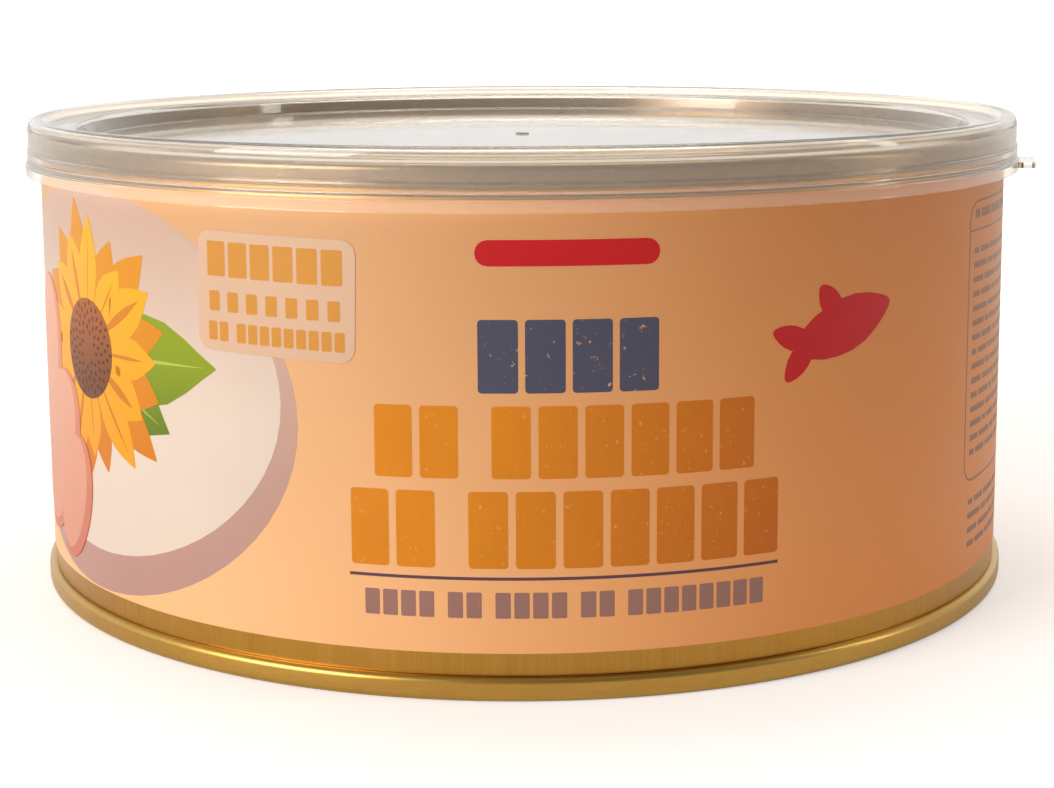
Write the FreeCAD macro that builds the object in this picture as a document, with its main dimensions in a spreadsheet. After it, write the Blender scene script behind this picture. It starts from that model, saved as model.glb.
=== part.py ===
# A large round tuna can with a ring-pull end and a clear press-on overcap.
#
# Frame: millimetres, +Z up, origin at the centre of the foot on which the can stands, with the front of
# the label towards -Y. The can is seamed from three pieces of tinplate: a straight body, a bottom end
# and an easy-open top end. A shut can is solid here: the body holds its contents.

import FreeCAD
import Part
import math
import os
import sys

import Sketcher

os.makedirs("parts", exist_ok=True)
doc = FreeCAD.newDocument("tuna_can")

# ---------------------------------------------------------------- driving sizes (mm and degrees)

SIZES = {
    # tinplate can
    "can_height": 70.9,         # over both seams
    "body_radius": 76.72,       # outside of the straight wall, format of 153 mm inside
    "seam_overhang": 1.08,      # how far a double seam stands out from the wall
    "seam_height": 3.3,
    "seam_round": 0.75,         # rounded foot and rounded top of a seam
    "seam_shoulder": 0.3,       # small rounding where a seam meets the wall
    "chuck_inset": 0.62,        # from the wall's outside to the inside of a seam
    "end_sheet": 0.25,
    "groove_width": 2.2,        # countersink groove beside the seam
    "panel_slope": 0.7,         # run of the step from the groove to the panel
    # bottom end
    "bottom_countersink": 0.9,  # groove floor beyond the seam's edge
    "bottom_rise": 1.7,         # the panel stands this far back towards the foot
    "bottom_bead_margin": 13.2, # from the panel's edge
    "bottom_bead_width": 5.0,
    "bottom_bead_step": 0.6,
    "bottom_land": 13.0,        # between the bead and the raised centre
    # easy-open top end
    "top_countersink": 2.2,     # groove floor beyond the seam's edge
    "top_rise": 0.8,
    "score_margin": 2.2,        # from the panel's edge
    "score_width": 0.3,         # half of the V groove's width
    "score_depth": 0.1,
    "top_bead_margin": 10.0,    # from the rivet's centre
    "top_bead_width": 4.5,
    "top_bead_depth": 0.35,
    "top_land": 8.5,            # between the bead and the sunk centre
    "rivet_radius": 2.3,
    "rivet_head_overlap": 1.2,
    "rivet_head_height": 0.45,
    # ring pull
    "pull_direction": 52.0,     # where the nose points, anticlockwise from +X
    "pull_lift": 0.12,          # clearance above the panel
    "pull_thickness": 1.7,
    "pull_edge_flat": 0.3,      # left between the two rounds of the curled edge
    "nose_gap": 2.0,            # from the tip of the nose to the score line
    "pull_nose_reach": 8.0,     # from the rivet to the tip of the nose
    "pull_nose_radius": 9.0,
    "pull_ring_radius": 12.5,
    "pull_ring_place": 27.0,    # from the rivet to the centre of the ring
    "pull_band": 4.1,           # between the ring's outline and the finger hole
    "finger_hole_taper": 1.6,   # how much smaller the hole's end near the rivet is
    "finger_hole_length": 6.0,  # between the centres of its two round ends
    "rivet_clearance": 0.08,
    "rivet_window_margin": 1.7, # around the rivet's head
    "rivet_window_depth": 0.85,
    # label
    "label_thickness": 0.12,
    "label_bottom_gap": 3.1,    # bare metal above the bottom seam
    "label_top_gap": 1.3,       # bare metal below the top seam
    # clear overcap
    "cap_wall": 0.6,
    "cap_seat": 0.25,           # clearance above the seam
    "cap_side": 0.2,            # clearance around the seam
    "cap_rim_rise": 1.35,       # hollow rim above the ring that lies over the seam
    "cap_rim_hollow": 0.7,      # between the two walls of the rim
    "cap_rim_slope": 1.3,
    "cap_rim_round": 0.9,
    "cap_edge_round": 0.5,
    "cap_ring_width": 4.2,      # flat ring between the rim and the wall down to the centre panel
    "cap_wall_slope": 0.9,
    "cap_headroom": 0.48,       # clearance between the ring pull and the centre panel
    "cap_step_rise": 0.8,       # shoulder line above the seam's lower edge
    "cap_step": 0.2,
    "cap_snap": 0.3,            # how far the snap ridge reaches under the seam
    "cap_snap_height": 0.35,    # half of the ridge's height
    "cap_bead_gap": 0.2,
    "cap_bead": 0.3,
    "cap_lip_height": 1.55,
    "gate_radius": 1.1,
    "gate_height": 0.25,
    "lift_tab_direction": -12.0,
    "lift_tab_root": 0.3,       # how far the tab is let into the lip
    "lift_tab_reach": 2.4,      # beyond the lip
    "lift_tab_width": 11.0,
    "lift_tab_thickness": 0.9,
    "lift_tab_corner": 1.8,
    "lift_tab_height": 0.35,    # above the cap's lower edge
}

sheet = doc.addObject("Spreadsheet::Sheet", "Sizes")
for row, (name, number) in enumerate(SIZES.items(), start=1):
    sheet.set("A%d" % row, name)
    sheet.set("B%d" % row, str(number))
    sheet.setAlias("B%d" % row, name)
doc.recompute()


# ---------------------------------------------------------------- helpers: sums of named sizes

def bound(text):
    """A sum such as 'can_height - seam_height' as an expression on the sheet."""
    return " ".join("Sizes." + word if word[0].isalpha() else word for word in text.split())


def size(text):
    """The same sum as a number."""
    total = 0.0
    sign = 1.0
    for word in text.split():
        if word in "+-":
            sign = 1.0 if word == "+" else -1.0
        else:
            total += sign * (sheet.get(word) if word[0].isalpha() else float(word))
    return total


def half(text):
    return "(" + bound(text) + ") / 2"


def make_body(label):
    body = doc.addObject("PartDesign::Body", label)
    body.Label = label
    return body


def plane_of(body, role):
    for feature in body.Origin.OriginFeatures:
        if feature.Role == role:
            return feature
    raise ValueError("no plane " + role)


def new_sketch(body, name, role):
    sketch = body.newObject("Sketcher::SketchObject", name)
    sketch.AttachmentSupport = [(plane_of(body, role), "")]
    sketch.MapMode = "FlatFace"
    return sketch


def hold(sketch, kind, first, expression, number):
    """One driving dimension from the origin to a point, or of one curve, bound to the sheet."""
    if kind in ("DistanceX", "DistanceY"):
        index = sketch.addConstraint(Sketcher.Constraint(kind, -1, 1, first[0], first[1], number))
    else:
        index = sketch.addConstraint(Sketcher.Constraint(kind, first, number))
    sketch.setExpression("Constraints[%d]" % index, expression)


def outline(body, name, points):
    """A closed outline in the XZ plane through (radius, height) points, each a sum of named sizes."""
    sketch = new_sketch(body, name, "XZ_Plane")
    places = [FreeCAD.Vector(size(r), size(z), 0) for r, z in points]
    count = len(places)
    for i in range(count):
        sketch.addGeometry(Part.LineSegment(places[i], places[(i + 1) % count]))
    for i in range(count):
        sketch.addConstraint(Sketcher.Constraint("Coincident", i, 2, (i + 1) % count, 1))
    for i, (r, z) in enumerate(points):
        if r == "0":
            sketch.addConstraint(Sketcher.Constraint("PointOnObject", i, 1, -2))
        else:
            hold(sketch, "DistanceX", (i, 1), bound(r), places[i].x)
        if z == "0":
            sketch.addConstraint(Sketcher.Constraint("PointOnObject", i, 1, -1))
        else:
            hold(sketch, "DistanceY", (i, 1), bound(z), places[i].y)
    return sketch


def turned(body, name, points):
    """A full turn of an outline about the can's axis."""
    sketch = outline(body, name + "_outline", points)
    turn = body.newObject("PartDesign::Revolution", name)
    turn.Profile = sketch
    turn.ReferenceAxis = (sketch, ["V_Axis"])
    turn.Angle = 360
    doc.recompute()
    return turn


def ring_edges(feature, rings):
    """Names of the circular edges about the can's axis at the given (radius, height) places."""
    found = []
    for r, z in rings:
        radius, height = size(r), size(z)
        for number, edge in enumerate(feature.Shape.Edges, start=1):
            curve = edge.Curve
            if not isinstance(curve, Part.Circle):
                continue
            near = math.hypot(curve.Center.x, curve.Center.y) < 0.001
            if near and abs(curve.Radius - radius) < 0.001 and abs(curve.Center.z - height) < 0.001:
                found.append("Edge%d" % number)
    return found


def rounded(body, name, feature, rings, radius):
    """Rounds ring edges of a turned piece."""
    edges = ring_edges(feature, rings)
    if len(edges) < len(rings):
        raise ValueError(name + ": a ring edge is missing")
    fillet = body.newObject("PartDesign::Fillet", name)
    fillet.Base = (feature, edges)
    fillet.Radius = size(radius)
    fillet.setExpression("Radius", bound(radius))
    doc.recompute()
    return fillet


# ---------------------------------------------------------------- surfaces that pieces share

TOP = "can_height"
LOW_SEAM = "seam_height"
HIGH_SEAM = "can_height - seam_height"
SEAM = "body_radius + seam_overhang"
CHUCK = "body_radius - chuck_inset"
CHUCK_BACK = CHUCK + " + end_sheet"
PANEL_EDGE = CHUCK + " - groove_width"
PANEL_START = PANEL_EDGE + " - panel_slope"

# Outside of the bottom end from the foot's inner edge to the axis, seen from below.
BOTTOM_FLOOR = LOW_SEAM + " + bottom_countersink"
BOTTOM_PANEL = BOTTOM_FLOOR + " - bottom_rise"
BOTTOM_SUNK = BOTTOM_PANEL + " + bottom_bead_step"
BEAD = PANEL_START + " - bottom_bead_margin"
BEAD_IN = BEAD + " - bottom_bead_width"
CENTRE = BEAD_IN + " - bottom_land"
BOTTOM_OUTSIDE = [
    (CHUCK, BOTTOM_FLOOR),
    (PANEL_EDGE, BOTTOM_FLOOR),
    (PANEL_START, BOTTOM_PANEL),
    (BEAD, BOTTOM_PANEL),
    (BEAD + " - bottom_bead_step", BOTTOM_SUNK),
    (BEAD_IN, BOTTOM_SUNK),
    (BEAD_IN + " - bottom_bead_step", BOTTOM_PANEL),
    (CENTRE, BOTTOM_PANEL),
    (CENTRE + " - bottom_bead_step", BOTTOM_SUNK),
    ("0", BOTTOM_SUNK),
]

# Outside of the top end from the seam's inner edge to the axis, seen from above.
TOP_FLOOR = HIGH_SEAM + " - top_countersink"
TOP_PANEL = TOP_FLOOR + " + top_rise"
TOP_SUNK = TOP_PANEL + " - top_bead_depth"
SCORE = PANEL_START + " - score_margin"
RIVET = SCORE + " - nose_gap - pull_nose_reach"
TOP_BEAD = RIVET + " - top_bead_margin"
TOP_BEAD_IN = TOP_BEAD + " - top_bead_width"
TOP_CENTRE = TOP_BEAD_IN + " - top_land"
TOP_OUTSIDE = [
    (CHUCK, TOP_FLOOR),
    (PANEL_EDGE, TOP_FLOOR),
    (PANEL_START, TOP_PANEL),
    (SCORE + " + score_width", TOP_PANEL),
    (SCORE, TOP_PANEL + " - score_depth"),
    (SCORE + " - score_width", TOP_PANEL),
    (TOP_BEAD, TOP_PANEL),
    (TOP_BEAD + " - top_bead_depth", TOP_SUNK),
    (TOP_BEAD_IN, TOP_SUNK),
    (TOP_BEAD_IN + " - top_bead_depth", TOP_PANEL),
    (TOP_CENTRE, TOP_PANEL),
    (TOP_CENTRE + " - top_bead_depth", TOP_SUNK),
    ("0", TOP_SUNK),
]


def inner_face(outside, sign):
    """The other face of an end sheet: its chuck wall stands out by the sheet, the rest lies behind it."""
    (edge, floor), rest = outside[0], outside[1:]
    shifted = [(edge + " + end_sheet", floor + sign + "end_sheet")]
    return shifted + [(r, z + sign + "end_sheet") for r, z in rest]


BOTTOM_INSIDE = inner_face(BOTTOM_OUTSIDE, " + ")
TOP_INSIDE = inner_face(TOP_OUTSIDE, " - ")


# ---------------------------------------------------------------- the can

def make_can_body():
    """Straight tinplate wall and the contents that fill it, from one end sheet to the other."""
    body = make_body("can_body")
    points = list(reversed(BOTTOM_INSIDE))
    points += [(CHUCK_BACK, LOW_SEAM), ("body_radius", LOW_SEAM)]
    points += [("body_radius", HIGH_SEAM), (CHUCK_BACK, HIGH_SEAM)]
    points += TOP_INSIDE
    turned(body, "wall_and_contents", points)
    return body


def make_bottom_end():
    """Bottom end with the double seam that forms the foot, a countersink groove and a beaded panel."""
    body = make_body("bottom_end")
    points = [(CHUCK, "0"), (SEAM, "0"), (SEAM, LOW_SEAM)]
    points += [(CHUCK_BACK, LOW_SEAM)] + BOTTOM_INSIDE + list(reversed(BOTTOM_OUTSIDE))
    sheet_turn = turned(body, "bottom_sheet", points)
    foot = rounded(body, "foot_round", sheet_turn, [(SEAM, "0")], "seam_round")
    rounded(body, "seam_shoulder_low", foot, [(SEAM, LOW_SEAM)], "seam_shoulder")
    return body


def round_outline(sketch, place, radius):
    """A circle on the sketch's X axis."""
    centre = FreeCAD.Vector(size(place), 0, 0)
    sketch.addGeometry(Part.Circle(centre, FreeCAD.Vector(0, 0, 1), size(radius)))
    if place == "0":
        sketch.addConstraint(Sketcher.Constraint("Coincident", 0, 3, -1, 1))
    else:
        sketch.addConstraint(Sketcher.Constraint("PointOnObject", 0, 3, -1))
        hold(sketch, "DistanceX", (0, 3), bound(place), size(place))
    hold(sketch, "Radius", 0, bound(radius), size(radius))


def level_sketch(body, name, height):
    """A level sketch at a height that is a sum of named sizes."""
    sketch = new_sketch(body, name + "_outline", "XY_Plane")
    sketch.setExpression("AttachmentOffset.Base.z", bound(height))
    return sketch


def pad(body, name, sketch, length):
    feature = body.newObject("PartDesign::Pad", name)
    feature.Profile = sketch
    feature.setExpression("Length", bound(length))
    doc.recompute()
    return feature


def pocket(body, name, sketch, depth):
    """A pocket that goes up from its sketch. It must take some of the piece away."""
    before = body.Shape.Volume
    feature = body.newObject("PartDesign::Pocket", name)
    feature.Profile = sketch
    feature.Reversed = True
    feature.setExpression("Length", bound(depth))
    doc.recompute()
    if feature.Shape.Volume > before - 0.01:
        raise ValueError(name + " cuts nothing")
    return feature


def turn_about_axis(body, angle):
    """Turns a piece about the can's axis by a named angle."""
    upright = FreeCAD.Vector(0, 0, 1)
    body.Placement = FreeCAD.Placement(FreeCAD.Vector(), FreeCAD.Rotation(upright, size(angle)))
    body.setExpression("Placement.Rotation.Angle", bound(angle) + " * 1 deg")


PULL_SEAT = TOP_PANEL + " + pull_lift"
PULL_TOP = PULL_SEAT + " + pull_thickness"
ISLAND_TOP = PULL_TOP + " - rivet_window_depth"
RIVET_HEAD = "rivet_radius + rivet_head_overlap"


def make_top_end():
    """Easy-open end: double seam, countersink, score line, sunk bead and centre, and the rivet."""
    body = make_body("top_end")
    points = [(CHUCK, TOP), (SEAM, TOP), (SEAM, HIGH_SEAM)]
    points += [(CHUCK_BACK, HIGH_SEAM)] + TOP_INSIDE + list(reversed(TOP_OUTSIDE))
    sheet_turn = turned(body, "top_sheet", points)
    crown = rounded(body, "seam_crown", sheet_turn, [(SEAM, TOP)], "seam_round")
    rounded(body, "seam_shoulder_high", crown, [(SEAM, HIGH_SEAM)], "seam_shoulder")
    shank = level_sketch(body, "rivet_shank", TOP_PANEL)
    round_outline(shank, RIVET, "rivet_radius")
    pad(body, "rivet_shank", shank, "pull_lift + pull_thickness - rivet_window_depth")
    head = level_sketch(body, "rivet_head", ISLAND_TOP)
    round_outline(head, RIVET, RIVET_HEAD)
    pad(body, "rivet_head", head, "rivet_head_height")
    turn_about_axis(body, "pull_direction")
    return body


def egg_outline(sketch, near, near_radius, far, far_radius):
    """Two arcs joined by their common tangents, with centres on the sketch's X axis."""
    a, ra = size(near), size(near_radius)
    b, rb = size(far), size(far_radius)
    lean = math.acos((ra - rb) / (b - a))
    up = FreeCAD.Vector(0, 0, 1)
    circle_a = Part.Circle(FreeCAD.Vector(a, 0, 0), up, ra)
    circle_b = Part.Circle(FreeCAD.Vector(b, 0, 0), up, rb)
    first = sketch.addGeometry(Part.ArcOfCircle(circle_a, lean, 2 * math.pi - lean))
    second = sketch.addGeometry(Part.ArcOfCircle(circle_b, -lean, lean))
    x_a, y_a = a + ra * math.cos(lean), ra * math.sin(lean)
    x_b, y_b = b + rb * math.cos(lean), rb * math.sin(lean)
    upper = sketch.addGeometry(
        Part.LineSegment(FreeCAD.Vector(x_a, y_a, 0), FreeCAD.Vector(x_b, y_b, 0)))
    lower = sketch.addGeometry(
        Part.LineSegment(FreeCAD.Vector(x_a, -y_a, 0), FreeCAD.Vector(x_b, -y_b, 0)))
    joints = ((first, 1, upper, 1), (first, 2, lower, 1), (second, 2, upper, 2), (second, 1, lower, 2))
    for arc, arc_end, line, line_end in joints:
        sketch.addConstraint(Sketcher.Constraint("Tangent", arc, arc_end, line, line_end))
    for arc, place, radius in ((first, near, near_radius), (second, far, far_radius)):
        sketch.addConstraint(Sketcher.Constraint("PointOnObject", arc, 3, -1))
        hold(sketch, "DistanceX", (arc, 3), bound(place), size(place))
        hold(sketch, "Radius", arc, bound(radius), size(radius))


def make_ring_pull():
    """Curled steel ring pull: a broad ring to lift and a nose that presses on the score line."""
    body = make_body("ring_pull")
    ring_centre = RIVET + " - pull_ring_place"
    nose_centre = RIVET + " + pull_nose_reach - pull_nose_radius"
    finger_radius = "pull_ring_radius - pull_band"
    blank = level_sketch(body, "blank", PULL_SEAT)
    egg_outline(blank, ring_centre, "pull_ring_radius", nose_centre, "pull_nose_radius")
    plate = pad(body, "blank", blank, "pull_thickness")

    level = [n for n, edge in enumerate(plate.Shape.Edges, start=1) if edge.BoundBox.ZLength < 0.001]
    curl = body.newObject("PartDesign::Fillet", "curled_edge")
    curl.Base = (plate, ["Edge%d" % n for n in level])
    curl.Radius = size("pull_thickness - pull_edge_flat") / 2
    curl.setExpression("Radius", half("pull_thickness - pull_edge_flat"))
    doc.recompute()

    finger_hole = level_sketch(body, "finger_hole", PULL_SEAT)
    egg_outline(finger_hole, ring_centre, finger_radius,
                ring_centre + " + finger_hole_length", finger_radius + " - finger_hole_taper")
    pocket(body, "finger_hole", finger_hole, "pull_thickness")
    window = level_sketch(body, "rivet_window", ISLAND_TOP)
    round_outline(window, RIVET, RIVET_HEAD + " + rivet_window_margin")
    pocket(body, "rivet_window", window, "rivet_window_depth")
    hole = level_sketch(body, "rivet_hole", PULL_SEAT)
    round_outline(hole, RIVET, "rivet_radius + rivet_clearance")
    pocket(body, "rivet_hole", hole, "pull_thickness")
    turn_about_axis(body, "pull_direction")
    return body


def make_label():
    """Printed label wrapped round the wall, with bare gold metal left below it."""
    body = make_body("label")
    outside = "body_radius + label_thickness"
    low = LOW_SEAM + " + label_bottom_gap"
    high = HIGH_SEAM + " - label_top_gap"
    turned(body, "wrap", [("body_radius", low), (outside, low), (outside, high), ("body_radius", high)])
    return body


# ---------------------------------------------------------------- the clear overcap

RING_TOP = "can_height + cap_seat + cap_wall"
CAP_TOP = RING_TOP + " + cap_rim_rise"
CAP_PANEL = PULL_TOP + " + cap_headroom + cap_wall"
SKIRT_IN = SEAM + " + cap_side"
SKIRT = SKIRT_IN + " + cap_wall"
RIM_IN = SKIRT_IN + " - cap_rim_hollow - cap_wall"
RIM_FOOT = RIM_IN + " - cap_rim_slope"
RING_IN = RIM_FOOT + " - cap_ring_width"
PANEL_FOOT = RING_IN + " - cap_wall_slope"
STEP = HIGH_SEAM + " + cap_step_rise"
SNAP_TOP = HIGH_SEAM + " - cap_seat"
SNAP_MIDDLE = SNAP_TOP + " - cap_snap_height"
SNAP_LOW = SNAP_MIDDLE + " - cap_snap_height"
LIP_SHOULDER = SNAP_LOW + " - cap_bead_gap"
LIP_TOP = LIP_SHOULDER + " - cap_bead"
CAP_BOTTOM = LIP_TOP + " - cap_lip_height"
LIP = SKIRT + " + cap_step + cap_bead"


def make_overcap():
    """Clear moulded cap: a skirt that snaps under the seam, a hollow rim and a sunk centre panel."""
    body = make_body("overcap")
    outside = [
        (LIP, CAP_BOTTOM),
        (LIP, LIP_TOP),
        (SKIRT + " + cap_step", LIP_SHOULDER),
        (SKIRT + " + cap_step", STEP),
        (SKIRT, STEP + " + cap_step"),
        (SKIRT, CAP_TOP),
        (RIM_IN, CAP_TOP),
        (RIM_FOOT, RING_TOP),
        (RING_IN, RING_TOP),
        (PANEL_FOOT, CAP_PANEL),
        ("0", CAP_PANEL),
    ]
    inside = [
        ("0", CAP_PANEL + " - cap_wall"),
        (PANEL_FOOT + " + cap_wall", CAP_PANEL + " - cap_wall"),
        (RING_IN + " + cap_wall", RING_TOP + " - cap_wall"),
        (RIM_FOOT + " + cap_wall", RING_TOP + " - cap_wall"),
        (RIM_IN + " + cap_wall", CAP_TOP + " - cap_wall"),
        (SKIRT_IN, CAP_TOP + " - cap_wall"),
        (SKIRT_IN, STEP),
        (SKIRT_IN + " + cap_step", STEP + " - cap_step"),
        (SKIRT_IN + " + cap_step", SNAP_TOP),
        (SEAM + " - cap_snap", SNAP_MIDDLE),
        (SKIRT_IN + " + cap_step", SNAP_LOW),
        (SKIRT_IN + " + cap_step", LIP_SHOULDER),
        (SKIRT_IN + " + cap_step + cap_bead", LIP_TOP),
        (SKIRT_IN + " + cap_step + cap_bead", CAP_BOTTOM),
    ]
    shell = turned(body, "cap_shell", outside + inside)
    rim = rounded(body, "rim_round", shell, [(SKIRT, CAP_TOP)], "cap_rim_round")
    rounded(body, "ring_rounds", rim, [(RIM_IN, CAP_TOP), (RING_IN, RING_TOP)], "cap_edge_round")
    gate = level_sketch(body, "moulding_gate", CAP_PANEL)
    round_outline(gate, "0", "gate_radius")
    pad(body, "moulding_gate", gate, "gate_height")
    add_lift_tab(body)
    turn_about_axis(body, "lift_tab_direction")
    return body


def add_lift_tab(body):
    """Small tongue on the lip, let into it a little, by which the cap is lifted off."""
    tongue = level_sketch(body, "lift_tab", CAP_BOTTOM + " + lift_tab_height")
    root, tip = LIP + " - lift_tab_root", LIP + " + lift_tab_reach"
    x0, x1, y = size(root), size(tip), size("lift_tab_width") / 2
    corners = [FreeCAD.Vector(a, b, 0) for a, b in ((x0, -y), (x1, -y), (x1, y), (x0, y))]
    for i in range(4):
        tongue.addGeometry(Part.LineSegment(corners[i], corners[(i + 1) % 4]))
    for i in range(4):
        tongue.addConstraint(Sketcher.Constraint("Coincident", i, 2, (i + 1) % 4, 1))
    for i, kind in ((0, "Horizontal"), (2, "Horizontal"), (3, "Vertical")):
        tongue.addConstraint(Sketcher.Constraint(kind, i))
    tongue.addConstraint(Sketcher.Constraint("Symmetric", 1, 1, 1, 2, -1))
    hold(tongue, "DistanceX", (0, 1), bound(root), x0)
    hold(tongue, "DistanceX", (0, 2), bound(tip), x1)
    hold(tongue, "DistanceY", (1, 2), half("lift_tab_width"), y)
    plate = pad(body, "lift_tab", tongue, "lift_tab_thickness")
    outer = []
    for number, edge in enumerate(plate.Shape.Edges, start=1):
        box = edge.BoundBox
        upright = box.ZLength > 0.1 and box.XLength < 0.001 and box.YLength < 0.001
        if upright and abs(box.XMax - x1) < 0.001:
            outer.append("Edge%d" % number)
    if len(outer) != 2:
        raise ValueError("the lift tab's corners are missing")
    corner = body.newObject("PartDesign::Fillet", "lift_tab_corners")
    corner.Base = (plate, outer)
    corner.Radius = size("lift_tab_corner")
    corner.setExpression("Radius", bound("lift_tab_corner"))
    doc.recompute()


# ---------------------------------------------------------------- build, check and write

pieces = [make_can_body(), make_bottom_end(), make_top_end(), make_ring_pull(), make_label(),
          make_overcap()]
doc.recompute()

for thing in doc.Objects:
    if "Invalid" in thing.State or "Error" in thing.State:
        sys.exit("failed: " + thing.Name)
for piece in pieces:
    shape = piece.Shape
    if shape.isNull() or not shape.isValid() or len(shape.Solids) != 1:
        sys.exit("not one valid solid: " + piece.Label)

for piece in pieces:
    piece.Shape.exportStep("parts/" + piece.Label + ".step")
    box = piece.Shape.BoundBox
    print("%-12s %9.0f mm3, %.1f x %.1f x %.1f, from z %.2f" % (
        piece.Label, piece.Shape.Volume, box.XLength, box.YLength, box.ZLength, box.ZMin))
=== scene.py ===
# %% [markdown]
# # A large round tuna can
#
# This lesson dresses a tuna can that was already built in CAD. The can is seamed from three pieces of
# tinplate, wears a printed label, and a clear plastic overcap sits on its ring-pull end. The CAD model
# says how big each piece is and where it is. Here each piece gets a smooth surface and a finish.

import math

import bmesh
import bpy
from mathutils import Matrix, Vector


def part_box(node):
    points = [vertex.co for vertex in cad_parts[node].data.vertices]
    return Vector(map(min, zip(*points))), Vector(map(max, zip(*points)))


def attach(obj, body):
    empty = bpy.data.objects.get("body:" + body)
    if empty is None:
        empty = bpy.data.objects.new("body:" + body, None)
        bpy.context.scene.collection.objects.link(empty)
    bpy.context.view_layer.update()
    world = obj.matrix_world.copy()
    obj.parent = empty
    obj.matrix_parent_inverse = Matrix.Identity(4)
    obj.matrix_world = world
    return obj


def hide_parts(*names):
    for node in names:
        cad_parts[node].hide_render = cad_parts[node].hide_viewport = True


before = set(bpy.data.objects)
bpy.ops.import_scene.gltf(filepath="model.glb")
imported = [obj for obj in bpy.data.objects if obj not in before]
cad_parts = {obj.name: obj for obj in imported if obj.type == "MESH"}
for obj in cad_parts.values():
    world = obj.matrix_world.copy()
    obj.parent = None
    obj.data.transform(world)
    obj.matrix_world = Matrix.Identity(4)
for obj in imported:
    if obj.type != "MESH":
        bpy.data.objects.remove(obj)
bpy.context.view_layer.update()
MM = 0.001
print("pieces in the frame:", ", ".join(sorted(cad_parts)))

# %% [markdown]
# ## The camera
#
# The can is looked at from a little above and close by, so its seams bend into flat ellipses. A long
# lens far away would flatten them. The lens is set by its focal length on a 36 mm wide sensor. A small
# shift moves the picture down without tilting the can's sides.

# %% Camera
CAMERA_PLACE = Vector((0.61, -337.7, 93.3)) * MM
CAMERA_PITCH = math.radians(8.7)
CAMERA_ROLL = math.radians(-0.3)

level_up = Vector((0, math.sin(CAMERA_PITCH), math.cos(CAMERA_PITCH)))
ahead = Vector((0, math.cos(CAMERA_PITCH), -math.sin(CAMERA_PITCH)))
across = Vector((math.cos(CAMERA_ROLL), 0, 0)) + level_up * math.sin(CAMERA_ROLL)
upward = across.cross(ahead)

lens = bpy.data.cameras.new("camera")
lens.sensor_width = 36
lens.lens = 70.57
lens.shift_y = -0.0892
lens.clip_start = 0.01
camera = bpy.data.objects.new("camera", lens)
turned = Matrix((across, upward, -ahead)).transposed().to_4x4()
camera.matrix_world = Matrix.Translation(CAMERA_PLACE) @ turned
bpy.context.scene.collection.objects.link(camera)
bpy.context.scene.camera = camera
print("camera: %.0f mm away, looking down by %.1f degrees" %
      (CAMERA_PLACE.length / MM, math.degrees(CAMERA_PITCH)))

# %% [markdown]
# ## Node helpers
#
# A material is a small network. Two helpers keep each network readable: one adds a node with its plain
# numbers, the other joins two sockets. They are used for materials, for the world and for node groups.


# %% Node helpers
def add(tree, kind, values=None, **settings):
    """Adds a node. values sets its plain inputs, by name or number, and settings its own properties."""
    made = tree.nodes.new("ShaderNode" + kind if not kind.startswith("NodeGroup") else kind)
    for key, value in settings.items():
        setattr(made, key, value)
    for key, value in (values or {}).items():
        made.inputs[key].default_value = value
    return made


def join(tree, *pairs):
    """Joins sockets: (from node, output, to node, input) four by four."""
    for source, output, target, socket in pairs:
        tree.links.new(source.outputs[output], target.inputs[socket])


def linear(red, green, blue):
    """An sRGB colour, as a paint chart gives it from 0 to 255, in the linear values that nodes use."""
    def one(value):
        share = value / 255
        return share / 12.92 if share <= 0.04045 else ((share + 0.055) / 1.055) ** 2.4
    return (one(red), one(green), one(blue), 1.0)


# %% [markdown]
# ## Studio: floor, white surround and lamps
#
# The can stands on a pale floor in front of white. Rays from the camera, reflections and rays through
# clear plastic meet a world of strength 1, which is white. Rays that only carry light meet a weaker
# world, so that the surround doesn't bleach the can. The floor adds a little of its own light for the
# same rays, and keeps the can's shadow. Its own light is weaker near the can, a painted shade round the
# can's foot, and weaker in reflections.


# %% Surround
def seen_rays(tree):
    """1 for camera rays, reflections and rays through clear plastic, and 0 once a ray carries only light."""
    path = add(tree, "LightPath")
    first = add(tree, "Math", operation="MAXIMUM")
    second = add(tree, "Math", operation="MAXIMUM")
    lit = add(tree, "Math", {0: 1.0}, operation="SUBTRACT", use_clamp=True)
    both = add(tree, "Math", operation="MULTIPLY")
    join(tree, (path, "Is Camera Ray", first, 0), (path, "Is Glossy Ray", first, 1),
         (first, 0, second, 0), (path, "Is Transmission Ray", second, 1), (path, "Diffuse Depth", lit, 1),
         (second, 0, both, 0), (lit, 0, both, 1))
    return both


def mirrored(tree):
    """1 once a ray has been reflected, and 0 before."""
    path = add(tree, "LightPath")
    once = add(tree, "Math", {1: 1.0}, operation="MINIMUM")
    join(tree, (path, "Glossy Depth", once, 0))
    return once


WORLD_LIGHT = 0.34
world = bpy.data.worlds.new("white_surround")
world.use_nodes = True
bpy.context.scene.world = world
tree = world.node_tree
tree.nodes.clear()
direction = add(tree, "TexCoord")
facing = add(tree, "VectorMath", {1: (-0.55, 0.83, 0.1)}, operation="DOT_PRODUCT")
darker_front = add(tree, "MapRange", {"From Min": -0.75, "From Max": 0.45, "To Min": 0.3, "To Max": 1.0},
                   interpolation_type="SMOOTHSTEP")
height = add(tree, "SeparateXYZ")
overhead = add(tree, "MapRange", {"From Min": 0.35, "From Max": 0.95, "To Min": 1.0, "To Max": 0.42})
shape = add(tree, "Math", operation="MULTIPLY")
tone = add(tree, "Mix", {"A": 1.0})
strength = add(tree, "Mix", {"A": WORLD_LIGHT})
hue = add(tree, "MixRGB", {1: (1.0, 0.86, 0.72, 1.0), 2: (1.0, 1.0, 1.0, 1.0)})
surround = add(tree, "Background")
world_out = add(tree, "OutputWorld")
seen = seen_rays(tree)
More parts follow.
